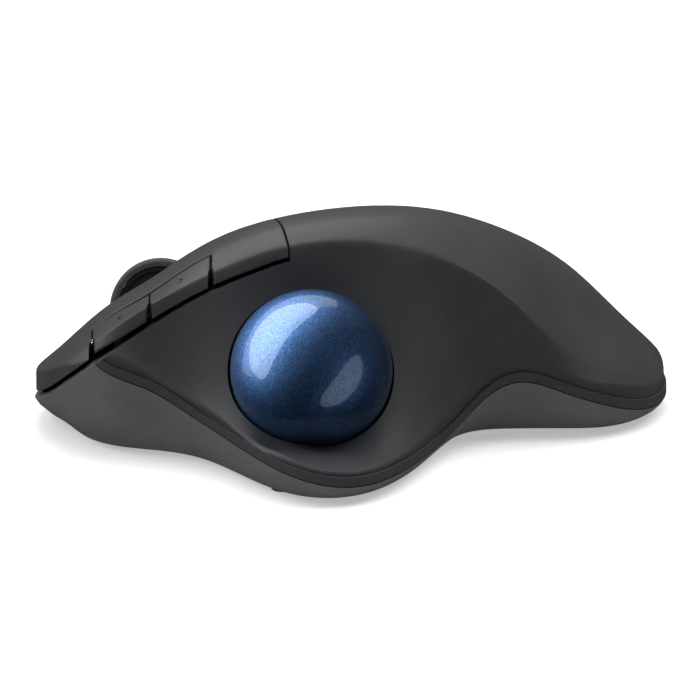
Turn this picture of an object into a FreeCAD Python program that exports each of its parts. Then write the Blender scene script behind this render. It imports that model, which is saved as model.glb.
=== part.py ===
"""Right-handed wireless trackball mouse, in millimetres.

Frame: +Z up, the fingers' end faces -Y, the palm's end +Y, the thumb side +X.
The origin is on the surface that the feet stand on, under the middle of the body's box.
"""
import math
import os

import FreeCAD
import Part

V = FreeCAD.Vector

# ---------------------------------------------------------------- driving dimensions
BASE_Z = 1.0            # underside of the bottom case; the feet reach down to 0
WALL = 2.0              # moulded wall of the cases
KEY_WALL = 1.8          # moulded wall of the key plates
LIP_HIGH = 2.1          # height of the band above the seam between the cases
LIP_OUT = 0.55          # how far the band stands proud of the wall above it
ROLL = 1.0              # radius where the top case turns down to the band
SEAM = 0.12             # half of the gap between top and bottom case
BALL_R = 17.0
BALL = V(25.4, -8.3, 21.4)
BALL_GAP = 0.5          # clear space between the ball and the rim around it
FACING = V(0.764, 0.06, 0.643).normalize()      # the way the ball faces, out of its socket
RIM_OFF = 2.4           # the rim stands this far out from the ball's centre
DISH_R = 18.2           # radius of the flat ring that the scoop forms around the ball
FAR = 90.0              # longer than any part
FINE = 0.65             # spacing of the surface's samples at the ridge
BROW_POWER = 9          # how late and steeply the brow above the ball rises
FOOT_ROLL = 1.2         # radius around the foot of the bottom case
SIDE_EASE = 0.4         # rounding of the side keys' visible edges
LEFT_EASE = 0.35        # rounding of the left key's visible edges

# Lines on the body, each as (y, x, z): crest of the palm, ridge between palm and thumb
# scoop, outer edge of the scoop, and the foot of the flank on the little finger's side.
CREST = [(-72, 4, 4.5), (-67, 5, 12.0), (-61.7, 9, 17.9), (-53.3, 10.5, 26.2), (-42.3, 9, 33.4),
         (-35.5, 8.4, 38.2), (-29, 7.5, 42.0), (-13, 5.2, 46.8), (4, 3, 48.0), (18.7, 0, 46.1),
         (33, -4.5, 40.3), (47.4, -9.5, 30.0), (58.9, -13.5, 17.5), (65.2, -15.5, 10.6), (72, -16, 0.5)]
RIDGE = [(-72, 8, 3.0), (-67, 10, 10.8), (-61.7, 14.2, 17.0), (-53.3, 17.6, 25.2), (-42.3, 18, 32.9),
         (-29, 16.5, 39.8), (-13, 13.2, 44.4), (4, 11.8, 45.0), (18.7, 11, 41.1), (33, 10, 31.6),
         (41, 9.8, 23.6), (48, 9.2, 16.4), (56, 6.6, 12.8), (63, -0.5, 10.2), (72, -12, 0.5)]
SCOOP = [(-72, 12, 0.2), (-60, 18, 17), (-50.6, 21.5, 22.4), (-42.3, 23, 19.1), (-33.2, 26.5, 14.7),
         (-24, 36, 11.9), (-14.9, 46, 9.9), (-4, 50, 7.9), (3, 48, 7.2), (11.9, 37.3, 7.1),
         (21.3, 18.8, 9.2), (26, 14.2, 12.2), (35.4, 11.6, 16.8), (48, 10.4, 14.4), (56, 7.8, 11.6),
         (63, 0.8, 9.4), (72, -9, 0.0)]
FLANK = [(-72, -40, -11), (-62, -42, 0), (-54, -44, 6), (-46, -46, 10), (-35, -49, 13), (-15, -50, 13.5),
         (5, -50, 12.6), (25, -48.5, 11.6), (40, -44, 10.4), (52, -37, 9.2), (61, -29, 8.2), (72, -26, 0.0)]
# Each against y: how sharply the crest is crowned (0 is a parabola), how the scoop steepens
# towards the ridge, its slope at the outer edge, the steep brow between the ball and the
# ridge as a share of the scoop's rise, and the ridge's softness.
CROWN = [(-72, 8), (-42, 8), (-20, 4.5), (0, 1.2), (20, 0.6), (72, 0.5)]
STEEPEN = [(-72, 6), (-50, 4.5), (-36, 2), (-25, 1.7), (-8, 3.2), (9, 2.0), (18, 1.9), (28, 2.2), (72, 2)]
EDGE_SLOPE = [(-72, 1.2), (-50, 1.2), (-42, 1.05), (-32, 0.75), (-20, 0.3), (-6, 0.08), (6, 0.12),
              (16, 0.45), (24, 1.2), (34, 1.5), (72, 1.2)]
BROW = [(-72, 0), (-34, 0), (-22, 0.16), (-8, 0.3), (6, 0.16), (20, 0), (72, 0)]
SOFT = [(-72, 0.7), (-20, 0.8), (0, 1.1), (20, 1.5), (36, 2.2), (48, 2.2), (72, 1.5)]
CREST_ROUND = 6.0

# The plan outline at the seam, and the foot of the bottom case below each of its points.
OUTLINE = [((-4, -67.0), (-8, -63.2)), ((6, -65.8), (0.5, -60.2)), ((14.5, -61.0), (8, -57.2)),
           ((19.8, -55.5), (13, -54.0)), ((22, -48.0), (16.9, -48.0)), ((23.6, -40.5), (19.1, -40.5)),
           ((26.8, -33.0), (22.4, -33.2)), ((34.0, -25.7), (30.0, -25.8)), ((42.6, -18.5), (39.2, -18.6)),
           ((48.3, -11.5), (45.2, -11.6)), ((50.0, -4.5), (47.0, -4.5)), ((48.2, 2.0), (45.0, 1.9)),
           ((41.6, 9.0), (37.3, 9.2)), ((31.2, 15.0), (25.8, 15.0)), ((20.4, 20.3), (13.4, 20.0)),
           ((13.6, 26.3), (7.2, 26.0)), ((11.2, 34.0), (5.8, 34.0)), ((11.0, 44.0), (5.5, 44.0)),
           ((8.8, 54.0), (4.6, 53.5)), ((2.6, 62.0), (0.0, 60.2)), ((-7.0, 66.5), (-8.6, 64.4)),
           ((-18.0, 66.2), (-18.5, 64.0)), ((-29.5, 60.5), (-28.5, 58.2)), ((-39.5, 50.0), (-37.5, 48.6)),
           ((-46.5, 35.0), (-43.8, 34.2)), ((-49.6, 17.0), (-46.6, 16.8)), ((-50.0, -3.0), (-47.0, -3.0)),
           ((-49.4, -23.0), (-46.2, -22.6)), ((-47.3, -40.0), (-43.8, -39.4)),
           ((-42.0, -51.0), (-38.6, -50.0)), ((-31.0, -58.4), (-29.0, -57.0)),
           ((-17.5, -63.0), (-18.5, -61.6))]
# Height of the seam between the cases on the thumb side and on the little finger's side,
# and of the gap under the keys on the same two sides, each against y.
SEAM_THUMB = [(-70, 33), (-60, 26.5), (-53.3, 20.3), (-42.3, 15.9), (-33.2, 11.5), (-24, 8.7), (-14.9, 6.7),
              (-5.6, 4.9), (2.4, 4.0), (11.9, 3.9), (17, 4.0), (21.3, 5.1), (26, 8.6), (30.6, 12.0),
              (35.4, 13.6), (44.7, 11.2), (54.2, 7.5), (63.6, 4.0), (70, 2.9)]
SEAM_FLANK = [(-70, 0.5), (-60, 2.5), (-50, 5.0), (-30, 7.6), (0, 8.2), (25, 7.3), (45, 5.9),
              (60, 4.2), (70, 3.0)]
GAP_THUMB = [(-70, 6.4), (-67, 8.4), (-64.3, 10.6), (-57.5, 17.9), (-47, 25.6), (-33.2, 34.0), (-19.5, 39.4),
             (-12.6, 41.5), (-5, 42.5)]
GAP_FLANK = [(-70, -1), (-60, 3.2), (-50, 7.2), (-38, 10.2), (-20, 11.8), (-5, 12.2)]
GAP_HALF = [(-70, 0.8), (-50, 0.75), (-25, 0.5), (-5, 0.4)]
# The curved seam behind the keys in plan, thumb side first.
KEYS_END = -8.0
KEY_SEAM = [(30, -10.5), (14, -12.6), (4, -14.6), (-10, -16.8), (-26, -17.4), (-40, -15.5), (-60, -9)]


# ---------------------------------------------------------------- curves against y
class Curve:
    """A natural cubic spline through (y, value) points, in a straight line past its ends."""

    def __init__(self, points):
        self.y = [p[0] for p in points]
        self.v = [p[1] for p in points]
        n = len(points)
        h = [self.y[i + 1] - self.y[i] for i in range(n - 1)]
        lower, diagonal, right = [0.0] * n, [1.0] * n, [0.0] * n
        upper = [0.0] * n
        for i in range(1, n - 1):
            lower[i], upper[i], diagonal[i] = h[i - 1], h[i], 2 * (h[i - 1] + h[i])
            right[i] = 6 * ((self.v[i + 1] - self.v[i]) / h[i] - (self.v[i] - self.v[i - 1]) / h[i - 1])
        for i in range(1, n):
            w = lower[i] / diagonal[i - 1]
            diagonal[i] -= w * upper[i - 1]
            right[i] -= w * right[i - 1]
        self.bend = [0.0] * n
        for i in range(n - 2, 0, -1):
            self.bend[i] = (right[i] - upper[i] * self.bend[i + 1]) / diagonal[i]

    def __call__(self, y):
        y = min(max(y, self.y[0]), self.y[-1])
        i = max(j for j in range(len(self.y) - 1) if j == 0 or self.y[j] <= y)
        h = self.y[i + 1] - self.y[i]
        a, b = (self.y[i + 1] - y) / h, (y - self.y[i]) / h
        bends = (a ** 3 - a) * self.bend[i] + (b ** 3 - b) * self.bend[i + 1]
        return a * self.v[i] + b * self.v[i + 1] + bends * h * h / 6


def line_on_body(points):
    """The x and z curves of a line given as (y, x, z)."""
    return Curve([(y, x) for y, x, z in points]), Curve([(y, z) for y, x, z in points])


crest_x, crest_z = line_on_body(CREST)
ridge_x, ridge_z = line_on_body(RIDGE)
scoop_x, scoop_z = line_on_body(SCOOP)
flank_x, flank_z = line_on_body(FLANK)
crown, steepen, edge_slope, soft = Curve(CROWN), Curve(STEEPEN), Curve(EDGE_SLOPE), Curve(SOFT)
brow = Curve(BROW)
seam_thumb, seam_flank = Curve(SEAM_THUMB), Curve(SEAM_FLANK)
gap_thumb, gap_flank, gap_half = Curve(GAP_THUMB), Curve(GAP_FLANK), Curve(GAP_HALF)


# ---------------------------------------------------------------- the body's surfaces
def palm(x, y):
    """The palm and the keys' tops: a crowned crest that falls to the ridge and to the flank."""
    from_crest, peak = x - crest_x(y), crest_z(y)
    if from_crest > 0:
        reach = ridge_x(y) - crest_x(y)
        fall = math.hypot(from_crest, CREST_ROUND) - CREST_ROUND
        share = fall / (math.hypot(reach, CREST_ROUND) - CREST_ROUND)
        return peak - (peak - ridge_z(y)) * share
    reach, k = crest_x(y) - flank_x(y), crown(y)
    share = (math.sqrt(1 + k * (from_crest / reach) ** 2) - 1) / (math.sqrt(1 + k) - 1)
    return peak - (peak - flank_z(y)) * share


def thumb_scoop(x, y):
    """The scoop that the thumb rests in: a shallow outer edge that steepens up to the ridge."""
    t, reach = scoop_x(y) - x, scoop_x(y) - ridge_x(y)
    slope = min(edge_slope(y), 0.8 * (ridge_z(y) - scoop_z(y)) / reach)
    if t <= 0:
        return scoop_z(y) + slope * t
    share = t / reach
    steep_part = max(brow(y), 0.0)
    rise = (1 - steep_part) * share ** steepen(y) + steep_part * share ** BROW_POWER
    return scoop_z(y) + slope * t + (ridge_z(y) - scoop_z(y) - slope * reach) * rise


def slope_of(surface, x, y, step=0.1):
    """A surface's slope along x, along y, and the length of its upright normal."""
    along_x = (surface(x + step, y) - surface(x - step, y)) / (2 * step)
    along_y = (surface(x, y + step) - surface(x, y - step)) / (2 * step)
    return along_x, along_y, math.sqrt(1 + along_x ** 2 + along_y ** 2)


def sunk(surface, x, y, depth):
    """A surface's height after an offset of depth along its normal."""
    if depth == 0:
        return surface(x, y)
    from_x, from_y = x, y
    for _ in range(3):
        along_x, along_y, normal = slope_of(surface, from_x, from_y)
        from_x, from_y = x - depth * along_x / normal, y - depth * along_y / normal
    return surface(from_x, from_y) - depth / slope_of(surface, from_x, from_y)[2]


def lower_of(a, b, softness):
    """The lower of two heights, with the corner between them rounded."""
    return 0.5 * (a + b - math.hypot(a - b, softness))


def ball_dish(x, y):
    """The flat ring around the ball, which turns up sooner above and below it than beside it."""
    out = FACING
    plane_z = BALL.z + (RIM_OFF - out.x * (x - BALL.x) - out.y * (y - BALL.y)) / out.z
    arm = V(x, y, plane_z) - BALL - out * RIM_OFF
    uphill = (V(0, 0, 1) - out * out.z).normalize()
    beyond = max(arm.Length - DISH_R, 0.0)
    height_share = arm.dot(uphill) / max(arm.Length, 1.0)
    return plane_z + beyond ** 2 / (2.0 + 5.0 * (1 - height_share ** 2))


def top_z(x, y, depth=0.0):
    """Height of the body's top, or of a surface at depth under it, at a point in plan."""
    scoop = lower_of(sunk(thumb_scoop, x, y, depth), sunk(ball_dish, x, y, depth), 2.5)
    return lower_of(sunk(palm, x, y, depth), scoop, soft(y))


def across(thumb, flank, x, y, thumb_x=12.0, flank_x_end=-42.0):
    """A height that runs from a thumb-side curve to a flank-side curve across the body."""
    share = min(max((thumb_x - x) / (thumb_x - flank_x_end), 0.0), 1.0)
    return thumb(y) + (flank(y) - thumb(y)) * share


def seam_z(x, y):
    return across(seam_thumb, seam_flank, x, y)


def gap_z(x, y):
    return across(gap_thumb, gap_flank, x, y)


# ---------------------------------------------------------------- solids from surfaces
def shares(n, first=0.0, last=1.0):
    return [first + (last - first) * i / (n - 1) for i in range(n)]


def spread(n, reach):
    """n distances up to reach, close together at first and ever wider apart."""
    first = FINE * n
    return [first * i / n + (reach - first) * (i / n) ** 3 for i in range(1, n + 1)]


def columns(y):
    """Where the top's surface is sampled across the body: closest together at the ridge."""
    ridge = ridge_x(y)
    to_flank = spread(24, ridge - flank_x(y) + 8)
    to_thumb = spread(18, max(scoop_x(y) - ridge + 8, 14))
    return [ridge - d for d in reversed(to_flank)] + [ridge] + [ridge + d for d in to_thumb]


def evenly_through(points):
    """A cubic curve through points that gives every span the same share of its parameter."""
    curve = Part.BSplineCurve()
    curve.interpolate(Points=points, Parameters=list(range(len(points))))
    return curve


def height_face(height, rows, columns_at):
    """A smooth face through height(x, y) sampled at rows of y and columns of x."""
    across_body = [evenly_through([V(x, y, height(x, y)) for x in columns_at(y)]) for y in rows]
    along_body = [evenly_through(list(line)) for line in zip(*(c.getPoles() for c in across_body))]
    first, second = along_body[0], across_body[0]
    surface = Part.BSplineSurface()
    surface.buildFromPolesMultsKnots([c.getPoles() for c in along_body], second.getMultiplicities(),
                                     first.getMultiplicities(), second.getKnots(), first.getKnots(),
                                     False, False, 3, 3)
    return surface.toShape()


def under(face):
    """The solid below a face that is a height over the plan."""
    return face.extrude(V(0, 0, -2 * FAR))


TOP_ROWS = shares(66, -71, 71)


def top_solid(depth=0.0):
    """Everything under the body's top, or under its offset at depth."""
    return under(height_face(lambda x, y: top_z(x, y, depth), TOP_ROWS, columns))


def level_solid(height, lift=0.0, first=-72.0, last=72.0):
    """Everything under a surface that changes gently across the body."""
    grid = [-64, -42, -24, -6, 12, 34, 56]
    rows = shares(int((last - first) / 4) + 1, first, last)
    return under(height_face(lambda x, y: height(x, y) + lift, rows, lambda y: grid))


def closed_curve(points):
    """A smooth closed curve through (x, y) or (x, y, z) points."""
    curve = Part.BSplineCurve()
    curve.interpolate(Points=[V(*point) for point in points], PeriodicFlag=True)
    return curve


def closed_wire(points):
    return Part.Wire(closed_curve(points).toShape())


def inset(points, distance):
    """The same closed outline, moved inward by distance. The points run anticlockwise."""
    curve = closed_curve(points)
    moved = []
    for x, y in points:
        along = curve.tangent(curve.parameter(V(x, y, 0)))[0]
        moved.append((x - along.y * distance, y + along.x * distance))
    return moved


def prism(points, low, high):
    """An upright solid over a smooth closed outline."""
    face = Part.Face(closed_wire([(x, y, low) for x, y in points]))
    return face.extrude(V(0, 0, high - low))


def hull(wall=0.0, floor=BASE_Z):
    """The body's sides: they flare from the foot to the seam and stand upright above it."""
    seam = [o for o, f in OUTLINE]
    foot = [f for o, f in OUTLINE]
    if wall:
        seam, foot = inset(seam, wall), inset(foot, wall)
    levels = []
    for share, bulge in ((0.0, 0.0), (0.3, 0.16), (0.65, 0.14), (1.0, 0.0)):
        level = []
        for (sx, sy), (fx, fy), (ox, oy) in zip(seam, foot, [o for o, f in OUTLINE]):
            out = share + bulge
            rim_z = min(seam_z(ox, oy), gap_z(ox, oy) if oy < KEYS_END else FAR)
            z = floor + (rim_z - floor) * share
            level.append((fx + (sx - fx) * out, fy + (sy - fy) * out, z))
        levels.append(closed_wire(level))
    levels.append(closed_wire([(x, y, 60) for x, y in seam]))
    side = Part.makeLoft(levels, False, True)
    ends = [Part.Face(levels[0]), Part.Face(levels[-1])]
    shell = Part.makeCompound(side.Faces + ends)
    shell.sewShape()
    solid = Part.Solid(Part.Shell(shell.Faces))
    if solid.Volume < 0:
        solid.reverse()
    return solid


def polygon_prism(points, low, high):
    wire = Part.makePolygon([V(x, y, low) for x, y in points + points[:1]])
    return Part.Face(wire).extrude(V(0, 0, high - low))


def box(x0, x1, y0, y1, z0, z1):
    return Part.makeBox(x1 - x0, y1 - y0, z1 - z0, V(x0, y0, z0))


def cylinder(r, x, y, z0, z1):
    return Part.makeCylinder(r, z1 - z0, V(x, y, z0))


def lowest_face(shape):
    return min(shape.Faces, key=lambda face: face.CenterOfMass.z)


def rounded(shape, radius, wanted):
    """Rounds the wanted edges, leaving out any that the others' rounding doesn't let in."""
    edges = [edge for edge in shape.Edges if wanted(edge)]
    chosen, result = [], shape
    for edge in edges:
        try:
            trial = shape.makeFillet(radius, chosen + [edge])
        except Part.OCCError:
            continue
        if trial.isValid():
            chosen.append(edge)
            result = trial
    return result


def lies_on_top(edge, tolerance=0.03):
    """Whether an edge runs along the body's outer surface."""
    first, last = edge.ParameterRange
    places = [edge.valueAt(first + (last - first) * share) for share in (0.25, 0.5, 0.75)]
    return all(abs(place.z - top_z(place.x, place.y)) < tolerance for place in places)


# ---------------------------------------------------------------- pieces of plan
def beyond_line(points, back, far):
    """The upright solid between a smooth line in plan, moved back along +Y, and y = far."""
    curve = Part.BSplineCurve()
    curve.interpolate(Points=[V(x, y + back, -FAR) for x, y in points])
    first, last = V(points[0][0], far, -FAR), V(points[-1][0], far, -FAR)
    edges = [curve.toShape(), Part.makeLine(curve.EndPoint, last), Part.makeLine(last, first),
             Part.makeLine(first, curve.StartPoint)]
    return Part.Face(Part.Wire(edges)).extrude(V(0, 0, 2 * FAR))


def before_key_seam(back=0.0):
    return beyond_line(KEY_SEAM, back, -FAR)


def over_gap(lift):
    """Everything over the gap under the keys, moved up by lift."""
    return box(-FAR, FAR, -72, 0, -5, FAR).cut(level_solid(gap_z, lift, -76, 4))


def gap_edge(side):
    """The gap's lower edge for side -1, or its upper edge for side +1."""
    def height(x, y):
        return gap_z(x, y) + side * gap_half(y)
    return box(-FAR, FAR, -72, 0, -20, FAR).cut(level_solid(height, 0.0, -76, 4))


def side_key_plan(front, back, grow):
    """Plan of a side key. Its slits are wide down the side and close up over the ridge."""
    wide, narrow, inner, outer = 0.62, 0.16, 6.5, 10.0
    points = []
    for y, inward in ((front, 1), (back, -1)):
        ridge = ridge_x(y)
        edge = [(ridge - inner - 0.08 * grow, y - inward * grow * narrow),
                (ridge - 1.9, y - inward * grow * narrow),
                (ridge - 1.1, y - inward * grow * wide),
                (ridge + outer, y - inward * grow * wide)]
        points += edge if inward > 0 else edge[::-1]
    return polygon_prism(points, -FAR, FAR)


# ---------------------------------------------------------------- skins of the cases and keys
LIP_HULL = hull(LIP_OUT)
KEY_FRONT, KEY_MIDDLE, KEY_BACK = -54.3, -42.2, -29.3      # slits between the side keys
DECK_DEPTH = 4.0        # the deck lies this far under the keys' tops
DECK_WALL = 1.4
DECK_LOW = 16.5         # the deck stops above the switches and the board
KEY_SLIT = 0.3          # plan gap between the keys and the top case behind them
WHEEL = V(-10, -40.3, 22.4)
WHEEL_R = 10.7
WHEEL_TILT = 18.0       # the wheel leans with the tops of the keys
SPINE = (-15.0, -9.8)   # the top case's tongue between the keys, behind the wheel
SPINE_FRONT = -27.0
LIGHT = (-12.4, -22.0)   # the status light

body_top = top_solid()
top_under_skin = top_solid(WALL)


def rolled_body():
    """Everything under the body's top and inside the band, with the rolled edge between them."""
    body = body_top.common(LIP_HULL)
    top_face = max(body.Faces, key=lambda face: face.Area if face.CenterOfMass.z > 15 else 0)
    return body.makeFillet(ROLL, top_face.Edges)


def outer_hull():
    """The body's sides, rounded around the foot."""
    sides = hull()
    return sides.makeFillet(FOOT_ROLL, lowest_face(sides).Edges)


rolled = rolled_body()
upper_body = rolled.cut(level_solid(seam_z, SEAM))
lip = body_top.common(hull()).common(level_solid(seam_z, LIP_HIGH)).cut(level_solid(seam_z, SEAM))
key_zone = before_key_seam().common(gap_edge(-1))
spine_zone = box(SPINE[0], SPINE[1], SPINE_FRONT, 0, -FAR, FAR)


def leaned(shape):
    """Turns a shape built with its axis along X, about the origin, into the wheel's place."""
    turned = shape.copy()
    turned.rotate(V(0, 0, 0), V(0, 1, 0), -WHEEL_TILT)
    turned.translate(WHEEL)
    return turned


def around_ball(shape):
    """Turns a shape built with its axis along +Z, about the origin, to face as the ball does."""
    return facing(shape, FACING, BALL)


def facing(shape, direction, place):
    turned = shape.copy()
    turned.Placement = FreeCAD.Placement(place, FreeCAD.Rotation(V(0, 0, 1), direction))
    return turned


def ball_opening():
    r = BALL_R + BALL_GAP
    rim_r = math.sqrt(r * r - RIM_OFF * RIM_OFF)
    return Part.makeSphere(r, BALL).fuse(around_ball(cylinder(rim_r, 0, 0, 0, 30)))


def wheel_slot(half_width, reach):
    return leaned(box(-half_width, half_width, -reach, reach, -6, 40))


# Screw columns: (x, y, height where the case's post meets the boss that the screw holds).
CASE_COLUMNS = [(-39.5, 1.5, 9), (-36.0, 39.5, 9), (-0.5, 51.5, 9), (42.2, -4.5, 5)]
DECK_COLUMNS = [(7.0, -38.0, 9), (-35.0, -31.0, 9)]
POST_R, BOSS_R, SCREW_R = 3.4, 2.8, 1.0
HEAD_R, HEAD_HIGH, SHELF_Z = 2.2, 1.6, 4.0


def boss(x, y, z, ceiling):
    """A boss that hangs from the underside of a skin down to z, with the screw's hole."""
    body = cylinder(BOSS_R, x, y, z + 0.05, 60).common(ceiling)
    return body.cut(cylinder(SCREW_R + 0.04, x, y, z - 1, z + 7))


def top_case():
    skin = upper_body.fuse(lip)
    skin = skin.cut(key_zone.cut(spine_zone)).cut(top_under_skin.common(hull(WALL + LIP_OUT, 3.0)))
    skin = skin.cut(ball_opening()).cut(wheel_slot(4.4, 12.2))
    just_in_skin = top_solid(WALL - 0.3)
    for x, y, z in CASE_COLUMNS:
        skin = skin.fuse(boss(x, y, z, just_in_skin))
    return skin.cut(light_pipe(0.05))


def light_pipe(clear=0.0):
    """The status light's window, flush with the tongue between the keys."""
    return cylinder(0.9 + clear, LIGHT[0], LIGHT[1], 30, 60).common(body_top)


def key_plates():
    """The keys' skin, whole: both main keys and both side keys."""
    zone = before_key_seam(-KEY_SLIT).common(gap_edge(1))
    plate = rolled.common(zone)
    hollow = top_solid(KEY_WALL).common(hull(KEY_WALL + LIP_OUT, 3.0))
    plate = plate.cut(hollow.common(before_key_seam(-KEY_SLIT - 2.0)))
    tongue = top_solid(WALL + 0.3).common(before_key_seam(4.0)).cut(before_key_seam(-KEY_SLIT - 2.0))
    tongue = tongue.common(hull(WALL + LIP_OUT + 0.6, 3.0)).common(over_gap(2.0))
    plate = plate.fuse(tongue).cut(top_solid(WALL + 1.4))
    plate = plate.cut(box(SPINE[0] - 0.35, SPINE[1] + 0.35, SPINE_FRONT - 3.0, 0, -FAR, FAR))
    plate = plate.cut(box(-12.8, -12.2, -80, WHEEL.y, -FAR, FAR))
    return plate.cut(wheel_slot(4.4, 12.2))


def striker(x, y, tip_z):
    """A post under a key's skin that pushes a switch."""
    return cylinder(1.3, x, y, tip_z, 60).common(top_solid(KEY_WALL - 0.4))


def left_and_right_keys(plate):
    left = plate.cut(side_key_plan(KEY_FRONT, KEY_BACK, 1))
    pieces = sorted(left.Solids, key=lambda piece: piece.Volume)[-2:]
    right, left = sorted(pieces, key=lambda piece: piece.CenterOfMass.x)
    return rounded(left, LEFT_EASE, lies_on_top), right


def side_key(plate, front, back):
    key = rounded(plate.common(side_key_plan(front, back, -1)), SIDE_EASE, lies_on_top)
    middle = (front + back) / 2
    key = key.fuse(striker(ridge_x(middle) - 3.0, middle, side_switch_z(middle) + 0.1))
    return key.cut(chevron(middle, front < KEY_MIDDLE - 1))


def side_switch_z(y):
    """Height of the plunger's top under a side key."""
    return round(top_z(ridge_x(y) - 3.0, y) - 9.5, 1)


def chevron(y, forward):
    """A shallow engraved arrowhead on a side key."""
    x, turn = ridge_x(y) - 3.2, -1 if forward else 1
    wide, deep, stroke = 0.8, 0.7, 0.4
    plan = [(x - wide, y), (x, y + turn * deep), (x + wide, y), (x + wide, y - turn * stroke),
            (x, y + turn * (deep - stroke)), (x - wide, y - turn * stroke)]
    return polygon_prism(plan, 0, 60).cut(top_solid(0.25))


# ---------------------------------------------------------------- bottom case and what it holds
BATTERY_R, BATTERY_LONG = 7.25, 49.0
BATTERY = V(-22.0, -8.0, 11.6)          # middle of the flat end, towards -Y
DOOR = (-31.0, 2.6, -14.0, 48.0)        # x and y limits of the battery door
DOOR_WALL = 1.2
RECEIVER = V(-5.4, -2.0, 3.6)
BOARD = (-30.5, 3.4, -54.0, -17.0, 8.0, 9.6)
BOARD_POSTS = [(-28.3, -51.6), (-28.3, -19.4), (0.8, -51.8), (0.8, -19.4)]
EJECT_R = 7.0
POWER = V(-38.6, 20.5, BASE_Z)
CONNECT = V(-5.0, -31.0, BASE_Z)
CUP_COLUMNS = [(23.5, 11.2), (8.5, -18.5), (26.4, -22.6)]
CUP_WALL_R = BALL_R + 2.8
CUP_EAR_Z = 5.0
FEET = [(-5.5, -55.5, 9.0, 2.6), (-29.0, -50.6, 5.0, 2.6), (38.0, -13.0, 2.6, 3.6),
        (36.5, 2.5, 2.6, 3.0), (-12.0, 58.2, 8.5, 2.6), (-39.4, 31.5, 2.6, 5.0)]


def rounded_box(x0, x1, y0, y1, z0, z1, r):
    block = box(x0, x1, y0, y1, z0, z1)
    corners = [edge for edge in block.Edges if abs(edge.tangentAt(edge.FirstParameter).z) > 0.9]
    return block.makeFillet(r, corners)


def column_post(x, y, z):
    """A screw post in the bottom case, before its hole is cut."""
    return cylinder(POST_R, x, y, BASE_Z + 0.5, z)


def column_hole(x, y, z):
    return cylinder(SCREW_R + 0.15, x, y, 0, z + 1).fuse(cylinder(HEAD_R + 0.2, x, y, 0, SHELF_Z))


def battery_bridge(y):
    """An arch over the battery that stops it rising into the case."""
    side = BATTERY_R + 0.7
    arch = box(BATTERY.x - side - 1.4, BATTERY.x + side + 1.4, y - 2.5, y + 2.5, 2.5, 20.6)
    return arch.cut(box(BATTERY.x - side, BATTERY.x + side, y - 5, y + 5, 0, 19.1))


def bottom_case():
    tub = body_top.common(outer_hull()).common(level_solid(seam_z, -SEAM)).cut(gap_edge(-1))
    tub = tub.cut(top_under_skin.common(hull(WALL, BASE_Z + WALL)))
    x0, x1, y0, y1 = DOOR
    added = [column_post(*column) for column in CASE_COLUMNS + DECK_COLUMNS]
    added += [cylinder(2.2, x, y, 2.5, BOARD[4]) for x, y in BOARD_POSTS]
    added += [cylinder(2.6, x, y, 2.5, CUP_EAR_Z) for x, y in CUP_COLUMNS]
    added += [cylinder(2.4, x, y, 2.5, top) for x, y, top in side_posts()]
    added += [battery_bridge(y) for y in (2.0, 31.0)]
    for y in (BATTERY.y - 3.0, BATTERY.y + BATTERY_LONG + 3.4):
        added.append(box(BATTERY.x - 7.5, BATTERY.x + 7.5, y - 0.8, y + 0.8, 2.5, 18.0))
    for x in (RECEIVER.x - 7.7, RECEIVER.x + 7.7):
        added.append(box(x - 0.7, x + 0.7, -1.5, 8.5, 2.5, 10.0))
    added.append(box(RECEIVER.x - 8, RECEIVER.x + 8, -1.0, 8.0, 9.4, 10.6))
    added += [box(POWER.x - 3.4, POWER.x - 2.2, POWER.y - 6, POWER.y + 6, 2.5, 5.0),
              box(POWER.x + 2.2, POWER.x + 3.4, POWER.y - 6, POWER.y + 6, 2.5, 5.0)]
    for piece in added:
        tub = tub.fuse(piece)
    for column in CASE_COLUMNS + DECK_COLUMNS:
        tub = tub.cut(column_hole(*column))
    holes = [cylinder(0.65, x, y, 4.0, BOARD[4] + 1) for x, y in BOARD_POSTS]
    holes += [cylinder(0.65, x, y, 2.0, CUP_EAR_Z + 1) for x, y in CUP_COLUMNS]
    holes += [rounded_box(x0 - 0.15, x1 + 0.15, y0 - 0.15, y1 + 0.15, 0, BASE_Z + DOOR_WALL + 0.05, 2.15)]
    holes += [box(BATTERY.x - 7.9, BATTERY.x + 7.9, BATTERY.y - 2.0, BATTERY.y + BATTERY_LONG + 2.4, 0, 5)]
    holes += [box(RECEIVER.x - 7.0, RECEIVER.x + 7.0, -2.6, 19.5, 0, 5)]
    holes += [cylinder(EJECT_R, BALL.x, BALL.y, 0, 5)]
    holes += [box(POWER.x - 1.7, POWER.x + 1.7, POWER.y - 3.6, POWER.y + 3.6, 0, 4)]
    holes += [cylinder(2.1, CONNECT.x, CONNECT.y, 0, 4)]
    for hole in holes:
        tub = tub.cut(hole)
    return tub


def key_deck():
    """The plate under the keys, on two legs, with holes for the posts that push the switches."""
    deck = top_solid(DECK_DEPTH).common(hull(DECK_DEPTH, 3.0)).common(before_key_seam(1.0))
    deck = deck.common(over_gap(-3.2))
    deck = deck.cut(top_solid(DECK_DEPTH + DECK_WALL).common(hull(DECK_DEPTH + DECK_WALL, 3.0)))
    deck = deck.cut(box(-FAR, FAR, -FAR, FAR, -FAR, DECK_LOW))
    just_in_deck = top_solid(DECK_DEPTH + 0.3)
    for x, y, z in DECK_COLUMNS:
        deck = deck.fuse(boss(x, y, z, just_in_deck))
    deck = deck.cut(wheel_slot(8.0, 14.6)).cut(leaned(box(-9.4, 0, -4.4, 4.4, -8, 8)))
    deck = deck.cut(cylinder(1.3, LIGHT[0], LIGHT[1], 0, 60))
    for x, y in striker_places():
        deck = deck.cut(cylinder(2.2, x, y, 0, 60))
    deck = deck.cut(ball_opening())
    return sorted(deck.Solids, key=lambda piece: piece.Volume)[-1]


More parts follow.
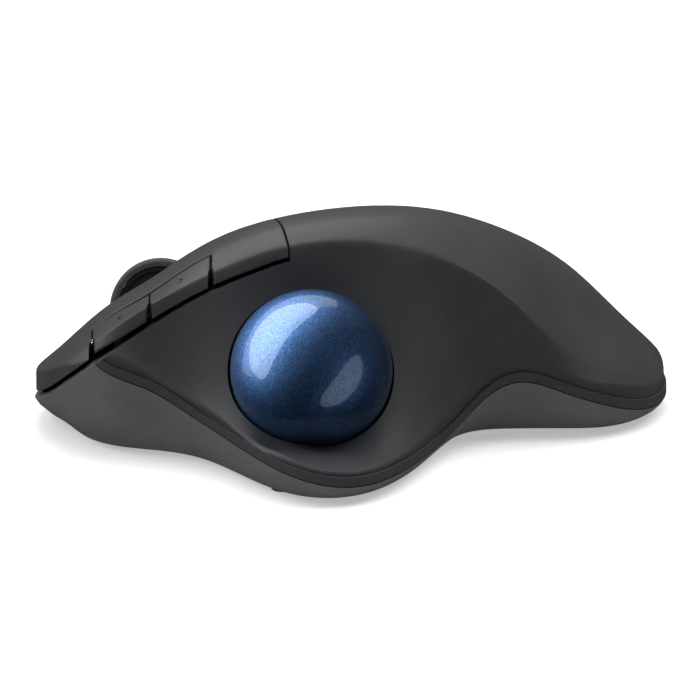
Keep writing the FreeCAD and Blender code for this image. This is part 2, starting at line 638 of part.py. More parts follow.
def screw(x, y, head_z, length):
    """A pan-head screw that points up, with its head's underside at head_z."""
    head = cylinder(HEAD_R, x, y, head_z - HEAD_HIGH, head_z)
    head = head.cut(cross_recess(x, y, head_z - HEAD_HIGH, 1.0, 1))
    return head.fuse(cylinder(SCREW_R, x, y, head_z - 0.2, head_z + length))


def small_screw(x, y, seat_z, length):
    """A small screw that points down, with its head's underside at seat_z."""
    head = cylinder(1.35, x, y, seat_z, seat_z + 1.0)
    head = head.cut(cross_recess(x, y, seat_z + 1.0, 0.7, -1))
    return head.fuse(cylinder(0.6, x, y, seat_z - length, seat_z + 0.2))


def cross_recess(x, y, z, reach, way):
    low, high = sorted((z - way * 0.5, z + way * 0.7))
    return box(x - reach, x + reach, y - 0.2, y + 0.2, low, high).fuse(
        box(x - 0.2, x + 0.2, y - reach, y + reach, low, high))


def housing_screws():
    screws = [screw(x, y, SHELF_Z, z + (5 if z > 6 else 1.0) - SHELF_Z) for x, y, z in CASE_COLUMNS]
    return screws + [screw(x, y, SHELF_Z, z + 5 - SHELF_Z) for x, y, z in DECK_COLUMNS]


def rubber_feet():
    feet = []
    for x, y, half_x, half_y in FEET:
        feet.append(rounded_box(x - half_x, x + half_x, y - half_y, y + half_y, 0, BASE_Z, 2.4))
    return feet


# ---------------------------------------------------------------- battery, door and receiver
def battery_cell():
    can = Part.makeCylinder(BATTERY_R, BATTERY_LONG, BATTERY, V(0, 1, 0))
    return can.makeFillet(0.6, [edge for edge in can.Edges if edge.Closed])


def battery_cap():
    return Part.makeCylinder(2.7, 1.0, BATTERY + V(0, BATTERY_LONG + 0.02, 0), V(0, 1, 0))


def contact_plate(y, thick):
    plate = box(BATTERY.x - 4.5, BATTERY.x + 4.5, y, y + thick, 5.0, 17.0)
    return plate.fuse(box(BATTERY.x + 3.0, BATTERY.x + 4.5, y, y + thick, 17.0, 19.0))


def plus_contact():
    wall_y = BATTERY.y + BATTERY_LONG + 3.4 - 0.8
    dimple = Part.makeCone(2.4, 1.2, 1.0, V(BATTERY.x, wall_y - 0.5, BATTERY.z), V(0, -1, 0))
    return contact_plate(wall_y - 0.52, 0.5).fuse(dimple)


def minus_contact():
    """A conical spring on a plate, drawn as rings of wire with ties, pressed by the battery."""
    wall_y = BATTERY.y - 3.0 + 0.8
    contact = contact_plate(wall_y + 0.02, 0.5)
    wire, first_r, last_r, turns = 0.25, 3.4, 2.0, 3
    for i in range(turns):
        r = first_r + (last_r - first_r) * i / (turns - 1)
        place = V(BATTERY.x, wall_y + 0.7 + 0.4 * i, BATTERY.z)
        contact = contact.fuse(Part.makeTorus(r, wire, place, V(0, 1, 0)))
    for way in (1, -1):
        foot = V(BATTERY.x + way * first_r, wall_y + 0.4, BATTERY.z)
        tie = Part.makeCylinder(0.2, 1.6, foot, V(-way * 0.9, 0.55, 0))
        contact = contact.fuse(tie)
    return contact


def battery_door():
    x0, x1, y0, y1 = DOOR
    door = rounded_box(x0, x1, y0, y1, BASE_Z, BASE_Z + DOOR_WALL, 2.0)
    pad = box(BATTERY.x - 5, BATTERY.x + 5, 4, 30, BASE_Z + 1, BATTERY.z - BATTERY_R - 0.1)
    door = door.fuse(pad)
    door = door.cut(box(RECEIVER.x - 5, RECEIVER.x + 5, 24, 25.2, 0, BASE_Z + 0.5))
    for i in range(4):
        groove_y = 38 + 2.0 * i
        door = door.cut(box(-21.5, -9.5, groove_y, groove_y + 0.9, 0, BASE_Z + 0.45))
    return door


def receiver_shell():
    """The receiver's metal plug, a rectangular tube."""
    low = RECEIVER + V(-6.0, 0.5, 0.3)
    tube = Part.makeBox(12.0, 11.0, 4.5, low)
    return tube.cut(Part.makeBox(11.2, 12.0, 3.7, low + V(0.4, -0.4, 0.4)))


def receiver_body():
    place = RECEIVER
    half_x, front, back = 6.9, place.y + 11.6, place.y + 18.6
    cap = rounded_box(place.x - half_x, place.x + half_x, front, back, place.z, place.z + 5.4, 1.2)
    tongue = Part.makeBox(11.0, 9.6, 1.6, place + V(-5.5, 1.2, 2.6))
    neck = Part.makeBox(11.0, 2.4, 3.4, place + V(-5.5, 9.6, 0.9))
    return cap.fuse(tongue.common(box(-FAR, FAR, place.y + 1.2, place.y + 9.9, 0, 20))), neck


# ---------------------------------------------------------------- ball, its socket and its sensor
BEARING_R = 1.25
BEARING_SWINGS = (90, 210, 330)         # around the ball's facing direction
BEARING_TILT = 62                       # away from straight behind the ball
SENSOR_WAY = V(-0.9, 0.2, -0.39).normalize()


def bearing_place(swing):
    tilt, turn = math.radians(BEARING_TILT), math.radians(swing)
    local = V(math.sin(tilt) * math.cos(turn), math.sin(tilt) * math.sin(turn), -math.cos(tilt))
    rotated = FreeCAD.Rotation(V(0, 0, 1), FACING).multVec(local)
    return BALL + rotated * (BALL_R + 0.02 + BEARING_R)


def bearings():
    return [Part.makeSphere(BEARING_R, bearing_place(swing)) for swing in BEARING_SWINGS]


def sensor_stack(shape):
    """Turns a shape built along +Z from the ball's centre to lie along the sensor's view."""
    return facing(shape, SENSOR_WAY, BALL)


def ball_cup():
    inner_r = BALL_R + 0.6
    cup = Part.makeSphere(CUP_WALL_R, BALL).cut(Part.makeSphere(inner_r, BALL))
    cup = cup.cut(around_ball(cylinder(30, 0, 0, -0.6, 40)))
    cup = cup.cut(box(-FAR, FAR, -FAR, FAR, -10, 3.3))
    for x, y in CUP_COLUMNS:
        way = (V(BALL.x, BALL.y, 0) - V(x, y, 0)).normalize()
        arm = Part.makeBox(13.0, 5.0, 1.6, V(0, -2.5, 0))
        arm.Placement = FreeCAD.Placement(V(x, y, CUP_EAR_Z), FreeCAD.Rotation(V(1, 0, 0), way))
        ear = arm.fuse(cylinder(2.5, x, y, CUP_EAR_Z, CUP_EAR_Z + 1.6))
        cup = cup.fuse(ear.cut(Part.makeSphere(inner_r + 0.2, BALL)))
        cup = cup.cut(cylinder(0.7, x, y, 0, 12))
        cup = cup.cut(cylinder(1.6, x, y, CUP_EAR_Z + 1.6, CUP_EAR_Z + 2.9))
    cup = cup.cut(cylinder(EJECT_R + 0.6, BALL.x, BALL.y, 0, BALL.z))
    for swing in BEARING_SWINGS:
        way = (bearing_place(swing) - BALL).normalize()
        pocket = Part.makeCylinder(BEARING_R + 0.02, 2 * BEARING_R + 0.14, BALL + way * (BALL_R - 0.1), way)
        cup = cup.cut(pocket)
    cup = cup.cut(sensor_stack(cylinder(3.1, 0, 0, 10, 25)))
    return cup.common(top_solid(WALL + 0.3))


def sensor_lens():
    """A lens through the cup's wall, with a flange behind it."""
    barrel = cylinder(2.9, 0, 0, BALL_R + 1.0, CUP_WALL_R + 0.4)
    flange = cylinder(3.9, 0, 0, CUP_WALL_R + 0.05, CUP_WALL_R + 0.4)
    return sensor_stack(barrel.fuse(flange))


def sensor_chip():
    return sensor_stack(box(-5, 5, -5, 5, BALL_R + 3.5, BALL_R + 5.7))


def sensor_board():
    return sensor_stack(box(-6.5, 6.5, -6.5, 6.5, BALL_R + 5.75, BALL_R + 6.75))


# ---------------------------------------------------------------- wheel and its carrier
TYRE_DEEP, TYRE_HALF, AXLE_R = 1.6, 3.4, 1.4
CHEEK = (4.4, 5.8)                      # the carrier's cheeks, out from the wheel's middle
MIDDLE_SWITCH = V(-13.6, -25.2, BOARD[5])


def along_axle(r, low, high):
    return Part.makeCylinder(r, high - low, V(low, 0, 0), V(1, 0, 0))


def wheel_tyre():
    """The ribbed rubber ring."""
    tyre = along_axle(WHEEL_R, -TYRE_HALF, TYRE_HALF)
    tyre = tyre.makeFillet(0.9, [edge for edge in tyre.Edges if edge.Closed])
    tyre = tyre.cut(along_axle(WHEEL_R - TYRE_DEEP, -6, 6))
    ribs, depth, half = 40, 0.3, 0.32
    for i in range(ribs):
        groove = Part.makeBox(5.0, 2 * half, 2.0, V(-2.5, -half, WHEEL_R - depth))
        groove.rotate(V(0, 0, 0), V(1, 0, 0), 360.0 * i / ribs)
        tyre = tyre.cut(groove)
    return leaned(tyre)


def wheel_core():
    rim = along_axle(WHEEL_R - TYRE_DEEP - 0.02, -3.2, 3.2)
    for low, high in ((-4.0, -2.9), (2.9, 4.0)):
        rim = rim.cut(along_axle(WHEEL_R - TYRE_DEEP - 1.0, low, high))
    hub = along_axle(3.2, -3.6, 3.6)
    return leaned(rim.fuse(hub).cut(along_axle(AXLE_R, -5, 5)))


def wheel_axle():
    return leaned(along_axle(AXLE_R - 0.02, -8.6, 7.0))


def wheel_carrier():
    """Two cheeks that hold the axle, a yoke behind the wheel and a foot on the middle switch."""
    frame = None
    for low, high in ((CHEEK[0], CHEEK[1]), (-CHEEK[1], -CHEEK[0])):
        cheek = along_axle(3.0, low, high).fuse(Part.makeBox(high - low, 15.0, 4.0, V(low, 0, -2.8)))
        frame = cheek if frame is None else frame.fuse(cheek)
    frame = frame.fuse(Part.makeBox(2 * CHEEK[1], 1.8, 4.0, V(-CHEEK[1], 13.2, -2.8)))
    frame = leaned(frame.cut(along_axle(AXLE_R + 0.04, -8, 8)))
    foot_x, foot_y = MIDDLE_SWITCH.x, MIDDLE_SWITCH.y
    foot = cylinder(1.2, foot_x, foot_y, MIDDLE_SWITCH.z + 4.5, 21.0)
    return frame.fuse(foot)


def wheel_encoder():
    block = Part.makeBox(2.6, 6.0, 7.3, V(-8.5, -3.0, -5.6))
    return leaned(block.cut(along_axle(AXLE_R + 0.04, -12, 0)))


# ---------------------------------------------------------------- boards and switches
LEFT_SWITCH, RIGHT_SWITCH = V(0.2, -44.0, BOARD[5]), V(-21.8, -38.0, BOARD[5])
PLUNGER_R = 0.9


def main_board():
    x0, x1, y0, y1, z0, z1 = BOARD
    board = rounded_box(x0, x1, y0, y1, z0, z1, 2.0)
    for x, y in BOARD_POSTS:
        board = board.cut(cylinder(0.7, x, y, 0, 20))
    return board


def board_chips():
    chips = [box(-28, -21.5, -30, -23.5, BOARD[5], BOARD[5] + 1.2)]
    chips.append(box(-8, -3, -28, -24, BOARD[5], BOARD[5] + 1.0))
    return chips + [box(-20 + 3 * i, -18.5 + 3 * i, -52, -51.2, BOARD[5], BOARD[5] + 0.6) for i in range(4)]


def micro_switch(place):
    """A main key's switch: a box with a hole for its plunger."""
    body = Part.makeBox(5.8, 12.8, 6.4, place + V(-2.9, -6.4, 0))
    return body.cut(cylinder(PLUNGER_R + 0.05, place.x, place.y, place.z + 4.0, place.z + 9))


def micro_plunger(place):
    return cylinder(PLUNGER_R, place.x, place.y, place.z + 5.0, place.z + 7.2)


def small_switch(place):
    body = Part.makeBox(5.4, 6.0, 3.4, place + V(-2.7, -3, 0))
    return body.cut(cylinder(PLUNGER_R + 0.05, place.x, place.y, place.z + 1.6, place.z + 9))


def small_plunger(place):
    return cylinder(PLUNGER_R, place.x, place.y, place.z + 2.5, place.z + 4.4)


def side_switch_place(front, back):
    y = (front + back) / 2
    return V(ridge_x(y) - 3.0, y, side_switch_z(y) - 4.4)


FORWARD_SWITCH = side_switch_place(KEY_FRONT, KEY_MIDDLE)
BACK_SWITCH = side_switch_place(KEY_MIDDLE, KEY_BACK)


def striker_places():
    return [(place.x, place.y) for place in (LEFT_SWITCH, RIGHT_SWITCH, FORWARD_SWITCH, BACK_SWITCH)]


def side_posts():
    """Posts that carry the two side switches' boards: (x, y, top)."""
    return [(place.x, place.y, place.z - 1.2) for place in (FORWARD_SWITCH, BACK_SWITCH)]


def side_boards():
    """The two small boards under the side keys' switches, each on a post."""
    boards = []
    for place in (FORWARD_SWITCH, BACK_SWITCH):
        boards.append(Part.makeBox(6.8, 7.0, 1.2, place + V(-4.5, -3.5, -1.2)))
    return boards


def connect_button():
    stem = cylinder(2.0, CONNECT.x, CONNECT.y, BASE_Z + 0.2, 5.7)
    return stem.fuse(cylinder(3.0, CONNECT.x, CONNECT.y, BASE_Z + WALL + 0.05, 3.8))


def connect_switch():
    return box(CONNECT.x - 2.3, CONNECT.x + 2.3, CONNECT.y - 2.3, CONNECT.y + 2.3, 6.35, BOARD[4])


def power_slider():
    knob = box(POWER.x - 1.5, POWER.x + 1.5, POWER.y - 3.4, POWER.y - 0.6, BASE_Z + 0.2, 3.2)
    return knob.fuse(box(POWER.x - 2.1, POWER.x + 2.1, POWER.y - 5.0, POWER.y + 1.0, 3.05, 3.85))


def power_switch():
    body = box(POWER.x - 3.4, POWER.x + 3.4, POWER.y - 6, POWER.y + 6, 5.0, 7.8)
    return body.fuse(box(POWER.x - 2.1, POWER.x + 2.1, POWER.y - 6, POWER.y + 6, 3.95, 5.1))


def cup_screws():
    return [small_screw(x, y, CUP_EAR_Z + 1.6, 4.0) for x, y in CUP_COLUMNS]


def board_screws():
    return [small_screw(x, y, BOARD[5], 4.5) for x, y in BOARD_POSTS]


# ---------------------------------------------------------------- the parts' files
def save(name, shape):
    """Writes one part, or a group of separate solids that share a file."""
    if isinstance(shape, (list, tuple)):
        shape = Part.makeCompound(list(shape))
    shape.exportStep("parts/" + name + ".step")


def main():
    os.makedirs("parts", exist_ok=True)
    plate = key_plates()
    left, right = left_and_right_keys(plate)
    left = left.fuse(striker(LEFT_SWITCH.x, LEFT_SWITCH.y, LEFT_SWITCH.z + 7.3))
    right = right.fuse(striker(RIGHT_SWITCH.x, RIGHT_SWITCH.y, RIGHT_SWITCH.z + 7.3))
    cap, neck = receiver_body()
    save("top_case", top_case())
    save("bottom_case", bottom_case())
    save("key_deck", key_deck())
    save("left_key", left)
    save("right_key", right)
    save("forward_key", side_key(plate, KEY_FRONT, KEY_MIDDLE))
    save("back_key", side_key(plate, KEY_MIDDLE, KEY_BACK))
    save("status_light", light_pipe())
    save("trackball", Part.makeSphere(BALL_R, BALL))
    save("ball_cup", ball_cup())
    save("socket_bearings", bearings())
    save("sensor_lens", sensor_lens())
    save("sensor_chip", sensor_chip())
    save("sensor_board", sensor_board())
    save("wheel_tyre", wheel_tyre())
    save("wheel_core", wheel_core())
    save("wheel_axle", wheel_axle())
    save("wheel_carrier", wheel_carrier())
    save("wheel_encoder", wheel_encoder())
    save("main_board", main_board())
    save("board_chips", board_chips())
    save("board_screws", board_screws())
    save("cup_screws", cup_screws())
    save("housing_screws", housing_screws())
    for name, place in (("left", LEFT_SWITCH), ("right", RIGHT_SWITCH)):
        save(name + "_switch", micro_switch(place))
        save(name + "_plunger", micro_plunger(place))
    for name, place in (("middle", MIDDLE_SWITCH), ("forward", FORWARD_SWITCH), ("back", BACK_SWITCH)):
        save(name + "_switch", small_switch(place))
        save(name + "_plunger", small_plunger(place))
    save("side_boards", side_boards())
    save("battery_cell", battery_cell())
    save("battery_cap", battery_cap())
    save("battery_door", battery_door())
    save("plus_contact", plus_contact())
    save("minus_contact", minus_contact())
    save("receiver_shell", receiver_shell())
    save("receiver_body", cap.fuse(neck))
    save("power_slider", power_slider())
    save("power_switch", power_switch())
    save("connect_button", connect_button())
    save("connect_switch", connect_switch())
    save("rubber_feet", rubber_feet())


main()
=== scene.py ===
import math

import bpy
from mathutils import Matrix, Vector

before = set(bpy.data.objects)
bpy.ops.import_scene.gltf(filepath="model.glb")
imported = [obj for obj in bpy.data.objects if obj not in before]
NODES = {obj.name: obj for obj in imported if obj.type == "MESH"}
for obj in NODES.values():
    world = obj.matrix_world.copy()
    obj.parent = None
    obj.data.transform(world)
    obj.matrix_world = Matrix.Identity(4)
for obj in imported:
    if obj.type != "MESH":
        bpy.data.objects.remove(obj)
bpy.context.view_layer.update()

# Thumb-operated trackball mouse. Metres; +Z up, the fingers' end at -Y, the thumb side at +X.
MM = 0.001

# ---------------------------------------------------------------- the studio's dimensions
AZIMUTH, ELEVATION = 90.0, 20.0     # the photograph's viewing angle
LENS, SENSOR = 600.0, 36.0          # a long lens, so that the view is almost parallel
FRAME_WIDTH = 147.7 * MM            # what the picture spans at the object
AIM = Vector((0, -0.2, 16.7)) * MM
FLOOR_HALF = 8.0                    # half the floor's side


def towards(azimuth, elevation):
    """The direction from the object to a viewer at that azimuth and elevation."""
    turn, rise = math.radians(azimuth), math.radians(elevation)
    flat = math.cos(rise)
    return Vector((math.sin(turn) * flat, -math.cos(turn) * flat, math.sin(rise)))


def put(name, data):
    thing = bpy.data.objects.new(name, data)
    bpy.context.scene.collection.objects.link(thing)
    return thing


def aimed(thing, place, target):
    """Moves a camera or light to a place and turns it to a target."""
    thing.location = place
    thing.rotation_euler = (Vector(place) - Vector(target)).to_track_quat("Z", "Y").to_euler()


def make_camera():
    data = bpy.data.cameras.new("camera")
    data.lens = LENS
    data.sensor_width = SENSOR
    data.clip_start = 0.05
    data.clip_end = 40.0
    camera = put("camera", data)
    aimed(camera, AIM + towards(AZIMUTH, ELEVATION) * (FRAME_WIDTH * LENS / SENSOR), AIM)
    bpy.context.scene.camera = camera


# ---------------------------------------------------------------- node graphs
class Graph:
    """A material's node graph, built by naming nodes and giving their inputs."""

    def __init__(self, tree):
        self.tree = tree

    def add(self, kind, inputs=None, **settings):
        """A node with its settings, and its inputs set to values or linked to outputs."""
        node = self.tree.nodes.new(kind)
        for key, value in settings.items():
            setattr(node, key, value)
        for key, value in (inputs or {}).items():
            self.set(node, key, value)
        return node

    def set(self, node, key, value):
        if isinstance(value, bpy.types.NodeSocket):
            self.tree.links.new(value, node.inputs[key])
        elif isinstance(value, tuple) and len(value) == 3 and node.inputs[key].type == "RGBA":
            node.inputs[key].default_value = (*value, 1.0)
        else:
            node.inputs[key].default_value = value

    def place(self):
        return self.add("ShaderNodeTexCoord").outputs["Object"]

    def noise(self, scale, detail=2.0, roughness=0.5, where=None):
        inputs = {"Vector": where or self.place(), "Scale": scale, "Detail": detail, "Roughness": roughness}
        return self.add("ShaderNodeTexNoise", inputs).outputs["Fac"]

    def cells(self, scale, output="Distance"):
        inputs = {"Vector": self.place(), "Scale": scale}
        return self.add("ShaderNodeTexVoronoi", inputs).outputs[output]

    def fit(self, value, low, high, to_low, to_high):
        """A value's range low..high, clamped and mapped to to_low..to_high."""
        inputs = {"Value": value, "From Min": low, "From Max": high, "To Min": to_low, "To Max": to_high}
        return self.add("ShaderNodeMapRange", inputs).outputs["Result"]

    def math(self, operation, a, b):
        return self.add("ShaderNodeMath", {0: a, 1: b}, operation=operation).outputs[0]

    def mix(self, share, a, b):
        """Blends two colours, each of them a tuple or a linked output."""
        first = (*a, 1.0) if isinstance(a, tuple) else a
        second = (*b, 1.0) if isinstance(b, tuple) else b
        return self.add("ShaderNodeMix", {0: share, 6: first, 7: second}, data_type="RGBA").outputs[2]

    def bump(self, height, distance):
        return self.add("ShaderNodeBump", {"Height": height, "Distance": distance}).outputs["Normal"]


def material(name, paint):
    """A node-based material; paint adds the graph and gives the Principled shader's inputs."""
    made = bpy.data.materials.new(name)
    made.use_nodes = True
    shader = made.node_tree.nodes["Principled BSDF"]
    graph = Graph(made.node_tree)
    for key, value in paint(graph).items():
        graph.set(shader, key, value)
    return made


# ---------------------------------------------------------------- materials
# Texture scales are in features per metre, and bump heights in metres.
CLOUDS = 70.0                   # slow changes of tone over a moulding
SPARK_GRAIN = 3200.0            # the fine grain of a spark-eroded mould
FLOW_MARKS = 240.0
FLAKES = 5200.0                 # the flakes in the ball's paint
BOARD_TRACKS, BOARD_HOLES = 260.0, 190.0
DRAWN_GRAIN = 420.0             # the grain of drawn metal
DRAWN = (1.0, 14.0, 1.0)        # how much finer that grain is along each axis
COPPER_END, LINE_START, EDGE = 0.715, 0.690, 0.005      # shares of the battery's length


def grained_plastic(colour, roughness):
    """Moulded plastic with a fine spark-eroded grain and a faint unevenness of tone."""
    def paint(g):
        cloud = g.noise(CLOUDS, 3.0)
        speck = g.noise(SPARK_GRAIN, 2.0, 0.6)
        dark = tuple(c * 0.84 for c in colour)
        light = tuple(c * 1.16 for c in colour)
        both = g.math("ADD", g.math("MULTIPLY", cloud, 0.4), g.math("MULTIPLY", speck, 0.6))
        return {"Base Color": g.mix(g.fit(both, 0.36, 0.64, 0.0, 1.0), dark, light),
                "Roughness": g.fit(speck, 0.3, 0.7, roughness - 0.05, roughness + 0.06),
                "Normal": g.bump(speck, 0.008 * MM)}
    return paint


def plain_plastic(colour, roughness, subsurface=0.0):
    """Smooth moulded plastic with faint flow marks."""
    def paint(g):
        flow = g.noise(FLOW_MARKS, 4.0, 0.65)
        dark = tuple(c * 0.9 for c in colour)
        light = tuple(min(c * 1.08, 1.0) for c in colour)
        return {"Base Color": g.mix(flow, dark, light),
                "Roughness": g.fit(flow, 0.3, 0.7, roughness - 0.06, roughness + 0.08),
                "Normal": g.bump(flow, 0.004 * MM),
                "Subsurface Weight": subsurface, "Subsurface Scale": 0.5 * MM}
    return paint


def metallic_ball(g):
    """Blue paint full of fine metal flakes, under a clear glossy coat."""
    flake = g.cells(FLAKES, "Color")
    parts = g.add("ShaderNodeSeparateColor", {"Color": flake})
    sparkle = g.fit(parts.outputs["Red"], 0.0, 1.0, 0.5, 1.6)
    tint = g.mix(g.noise(90.0, 2.0), (0.090, 0.220, 0.510), (0.105, 0.245, 0.550))
    colour = g.add("ShaderNodeVectorMath", {0: tint, "Scale": sparkle}, operation="SCALE").outputs["Vector"]
    return {"Base Color": colour, "Metallic": 1.0,
            "Roughness": g.fit(parts.outputs["Green"], 0.0, 1.0, 0.40, 0.58),
            "Normal": g.bump(parts.outputs["Blue"], 0.004 * MM),
            "Coat Weight": 1.0, "Coat Roughness": 0.06, "Coat IOR": 1.75}


def soft_rubber(colour):
    """Matt rubber with a dusty, slightly pitted surface."""
    def paint(g):
        dust = g.noise(500.0, 5.0, 0.7)
        pits = g.cells(2400.0)
        dark = tuple(c * 0.75 for c in colour)
        light = tuple(c * 1.25 for c in colour)
        return {"Base Color": g.mix(g.fit(dust, 0.3, 0.7, 0.0, 1.0), dark, light),
                "Roughness": g.fit(dust, 0.3, 0.7, 0.62, 0.82),
                "Normal": g.bump(g.math("ADD", dust, pits), 0.012 * MM)}
    return paint


def circuit_board(g):
    """Green solder mask with buried tracks, pads and rows of plated holes."""
    tracks = g.add("ShaderNodeTexBrick", {"Vector": g.place(), "Scale": BOARD_TRACKS, "Mortar Size": 0.03,
                                          "Color1": (0.012, 0.105, 0.040), "Color2": (0.016, 0.125, 0.050),
                                          "Mortar": (0.045, 0.230, 0.085)})
    holes = g.fit(g.cells(BOARD_HOLES), 0.10, 0.16, 1.0, 0.0)
    ring = g.fit(g.cells(BOARD_HOLES), 0.16, 0.24, 1.0, 0.0)
    plated = g.mix(ring, tracks.outputs["Color"], (0.62, 0.46, 0.18))
    return {"Base Color": g.mix(holes, plated, (0.01, 0.012, 0.01)),
            "Metallic": g.math("MULTIPLY", ring, 0.8),
            "Roughness": g.fit(g.noise(900.0, 2.0), 0.3, 0.7, 0.22, 0.38),
            "Normal": g.bump(tracks.outputs["Fac"], 0.02 * MM)}


def metal(colour, roughness):
    """Plated or brushed metal: noise drawn out along one way, with a few darker spots."""
    def paint(g):
        drawn = g.add("ShaderNodeMapping", {"Vector": g.place(), "Scale": DRAWN}).outputs["Vector"]
        grain = g.noise(DRAWN_GRAIN, 4.0, 0.6, drawn)
        spots = g.noise(130.0, 2.0)
        dull = tuple(c * 0.78 for c in colour)
        return {"Base Color": g.mix(g.fit(spots, 0.35, 0.7, 0.0, 1.0), colour, dull), "Metallic": 1.0,
                "Roughness": g.fit(grain, 0.3, 0.7, roughness - 0.08, roughness + 0.10),
                "Normal": g.bump(grain, 0.003 * MM)}
    return paint


def battery_wrap(g):
    """A printed sleeve: dark over most of the cell, copper at the positive end, with a pale line."""
    share = g.add("ShaderNodeTexCoord").outputs["Generated"]
    along = g.add("ShaderNodeSeparateXYZ", {"Vector": share}).outputs["Y"]
    copper = g.fit(along, COPPER_END, COPPER_END + EDGE, 0.0, 1.0)
    past_start = g.fit(along, LINE_START, LINE_START + EDGE, 0.0, 1.0)
    line = g.math("MULTIPLY", past_start, g.fit(along, COPPER_END, COPPER_END + EDGE, 1.0, 0.0))
    scuff = g.noise(300.0, 4.0, 0.7)
    sleeve = g.mix(copper, (0.018, 0.020, 0.024), (0.52, 0.24, 0.10))
    printed = g.mix(line, sleeve, (0.75, 0.75, 0.73))
    worn = g.mix(g.fit(scuff, 0.62, 0.8, 0.0, 0.35), printed, (0.4, 0.4, 0.4))
    return {"Base Color": worn, "Metallic": 0.45, "Roughness": g.fit(scuff, 0.3, 0.7, 0.24, 0.40),
            "Coat Weight": 0.4}


def clear_lens(g):
    """Clear moulded plastic with a slight haze."""
    haze = g.noise(500.0, 3.0)
    return {"Base Color": g.mix(haze, (0.80, 0.86, 0.92), (0.88, 0.93, 0.97)),
            "Transmission Weight": 0.85, "IOR": 1.49, "Roughness": g.fit(haze, 0.3, 0.7, 0.02, 0.10)}


def frosted_window(g):
    """A pale, frosted light pipe."""
    frost = g.noise(1500.0, 3.0, 0.7)
    return {"Base Color": g.mix(frost, (0.58, 0.62, 0.58), (0.70, 0.74, 0.70)), "Transmission Weight": 0.25,
            "Roughness": g.fit(frost, 0.3, 0.7, 0.30, 0.50), "Normal": g.bump(frost, 0.006 * MM)}


GRAPHITE = (0.036, 0.037, 0.039)
# The lower shell's grey is more than twice as light as GRAPHITE: the lift is painted light, standing in for
# light thrown up from below onto the lower shell and battery door.
LOWER_GREY_PAINTED_BOUNCE = (0.085, 0.086, 0.090)
SWITCHES = ["left_switch", "right_switch", "middle_switch", "forward_switch", "back_switch"]
PLUNGERS = ["left_plunger", "right_plunger", "middle_plunger", "forward_plunger", "back_plunger"]

# Each finish as its material slot in the record, what paints it, and the CAD nodes that wear it.
FINISHES = [
    ("graphite_shell", grained_plastic(GRAPHITE, 0.44), ["top_case"]),
    # graphite_lower wears the lightened grey above: painted light from below put into the colour.
    ("graphite_lower", grained_plastic(LOWER_GREY_PAINTED_BOUNCE, 0.40), ["bottom_case", "battery_door"]),
    ("key_plastic", grained_plastic(GRAPHITE, 0.42), ["left_key", "right_key", "forward_key", "back_key"]),
    # key_deck's near-black is partly its own dark plastic and partly painted shade: it keeps the gaps
    # between the keys black.
    ("black_plastic", plain_plastic((0.014, 0.014, 0.015), 0.45),
     ["key_deck", "ball_cup", "wheel_core", "wheel_encoder", "receiver_body", "connect_button",
      "connect_switch", "power_switch"] + SWITCHES),
    ("ball_blue", metallic_ball, ["trackball"]),
    ("wheel_rubber", soft_rubber((0.050, 0.050, 0.053)), ["wheel_tyre"]),
    ("foot_rubber", soft_rubber((0.035, 0.035, 0.037)), ["rubber_feet"]),
    ("white_plastic", plain_plastic((0.70, 0.70, 0.67), 0.40, 0.1),
     ["power_slider", "wheel_carrier"] + PLUNGERS),
    ("light_window", frosted_window, ["status_light"]),
    ("board_green", circuit_board, ["main_board", "side_boards", "sensor_board"]),
    ("chip_black", plain_plastic((0.022, 0.022, 0.023), 0.55), ["board_chips", "sensor_chip"]),
    ("steel", metal((0.60, 0.60, 0.60), 0.32),
     ["wheel_axle", "housing_screws", "board_screws", "cup_screws"]),
    ("nickel", metal((0.72, 0.70, 0.66), 0.24),
     ["plus_contact", "minus_contact", "battery_cap", "receiver_shell"]),
    ("lens_clear", clear_lens, ["sensor_lens"]),
    ("bearing_white", plain_plastic((0.85, 0.85, 0.82), 0.18, 0.2), ["socket_bearings"]),
    ("battery_wrap", battery_wrap, ["battery_cell"]),
]
CREASE = math.radians(35)       # faces that meet at a sharper angle than this keep a crisp edge


def dress_nodes():
    """Gives each CAD node its finish."""
    for slot_name, paint, names in FINISHES:
        finish = material(slot_name, paint)
        for name in names:
            mesh = NODES[name].data
            mesh.materials.clear()
            mesh.materials.append(finish)
            mesh.set_sharp_from_angle(angle=CREASE)


# ---------------------------------------------------------------- the studio
def floor_white(g):
    """White paper that glows a little, so that the backdrop stays white under the body's lights."""
    shade = g.noise(1.5, 2.0)
    return {"Base Color": g.mix(shade, (0.52, 0.52, 0.52), (0.56, 0.56, 0.56)), "Roughness": 0.9,
            "Specular IOR Level": 0.1, "Emission Color": (1.0, 1.0, 1.0), "Emission Strength": 0.42}


def make_floor():
    mesh = bpy.data.meshes.new("floor")
    corners = [(x * FLOOR_HALF, y * FLOOR_HALF, 0.0) for x, y in ((-1, -1), (1, -1), (1, 1), (-1, 1))]
    mesh.from_pydata(corners, [], [(0, 1, 2, 3)])
    mesh.materials.append(material("floor_white", floor_white))
    floor = put("floor", mesh)
    floor.visible_glossy = False
    return floor


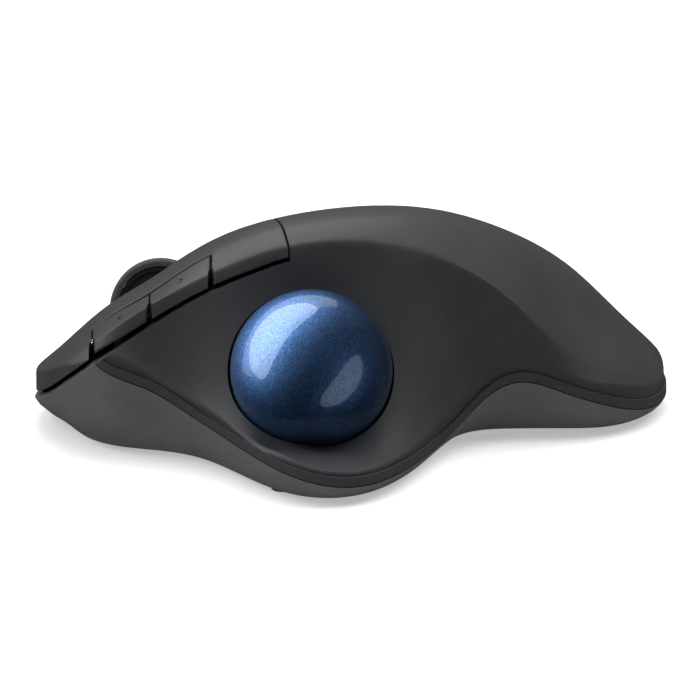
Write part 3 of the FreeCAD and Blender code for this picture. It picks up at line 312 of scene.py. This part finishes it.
def make_sky():
    """A dim room, lighter overhead and on the far side, so that faces towards +X stay dark."""
    world = bpy.data.worlds.new("room")
    world.use_nodes = True
    g = Graph(world.node_tree)
    direction = g.add("ShaderNodeTexCoord").outputs["Generated"]
    parts = g.add("ShaderNodeSeparateXYZ", {"Vector": direction})
    above = g.fit(parts.outputs["Z"], 0.0, 1.0, 0.01, 0.05)
    behind = g.fit(parts.outputs["X"], 0.1, -0.9, 0.0, 0.05)
    g.set(world.node_tree.nodes["Background"], "Strength", g.math("ADD", above, behind))
    g.set(world.node_tree.nodes["Background"], "Color", (1.0, 1.0, 1.0))
    bpy.context.scene.world = world


def receivers(name, things):
    """A group of objects that a light may be kept to."""
    group = bpy.data.collections.new(name)
    for thing in things:
        group.objects.link(thing)
    return group


def make_softbox(name, place, width, height, power, group, roll=0.0, shape="RECTANGLE", mirrored=True):
    """An area light kept to one group of receivers.

    roll turns it about its line of aim, in degrees. mirrored says whether glossy surfaces reflect it.
    """
    data = bpy.data.lights.new(name, "AREA")
    data.shape = shape
    data.size = width
    data.size_y = height
    data.energy = power
    light = put(name, data)
    light.visible_glossy = mirrored
    light.light_linking.receiver_collection = group
    aimed(light, place, (0, 0, 20 * MM))
    light.rotation_euler.rotate_axis("Z", math.radians(roll))


def light_body(floor):
    """The body and floor are lit from above, from the fingers' end and from over the palm's heel."""
    body = receivers("lit_body", [floor] + [node for name, node in NODES.items() if name != "trackball"])
    make_softbox("key", (-0.21, -0.34, 0.48), 1.20, 0.50, 3.2, body, roll=-35.0)
    make_softbox("key_spill", (0.12, -0.42, 0.40), 0.50, 0.35, 1.5, body, mirrored=False)
    make_softbox("overhead", (-0.05, 0.0, 0.62), 0.50, 0.50, 3.6, body, mirrored=False)
    make_softbox("rear_top", (-0.10, 0.40, 0.50), 0.40, 0.40, 3.0, body, mirrored=False)


def light_ball():
    """The ball has lights of its own, whose reflections are its two crescents and its pale rim."""
    ball = receivers("lit_ball", [NODES["trackball"]])
    make_softbox("crescent", (-0.07, -0.42, 0.42), 1.60, 0.62, 5.6, ball, roll=-52.0, shape="ELLIPSE")
    make_softbox("glint", (0.40, 0.42, -0.02), 1.00, 0.36, 0.50, ball, roll=40.0, shape="ELLIPSE")
    make_softbox("rim", (-0.55, -0.55, 0.50), 2.40, 1.60, 9.0, ball)


make_camera()
make_sky()
light_body(make_floor())
light_ball()
bpy.context.scene.view_settings.view_transform = "Standard"

dress_nodes()
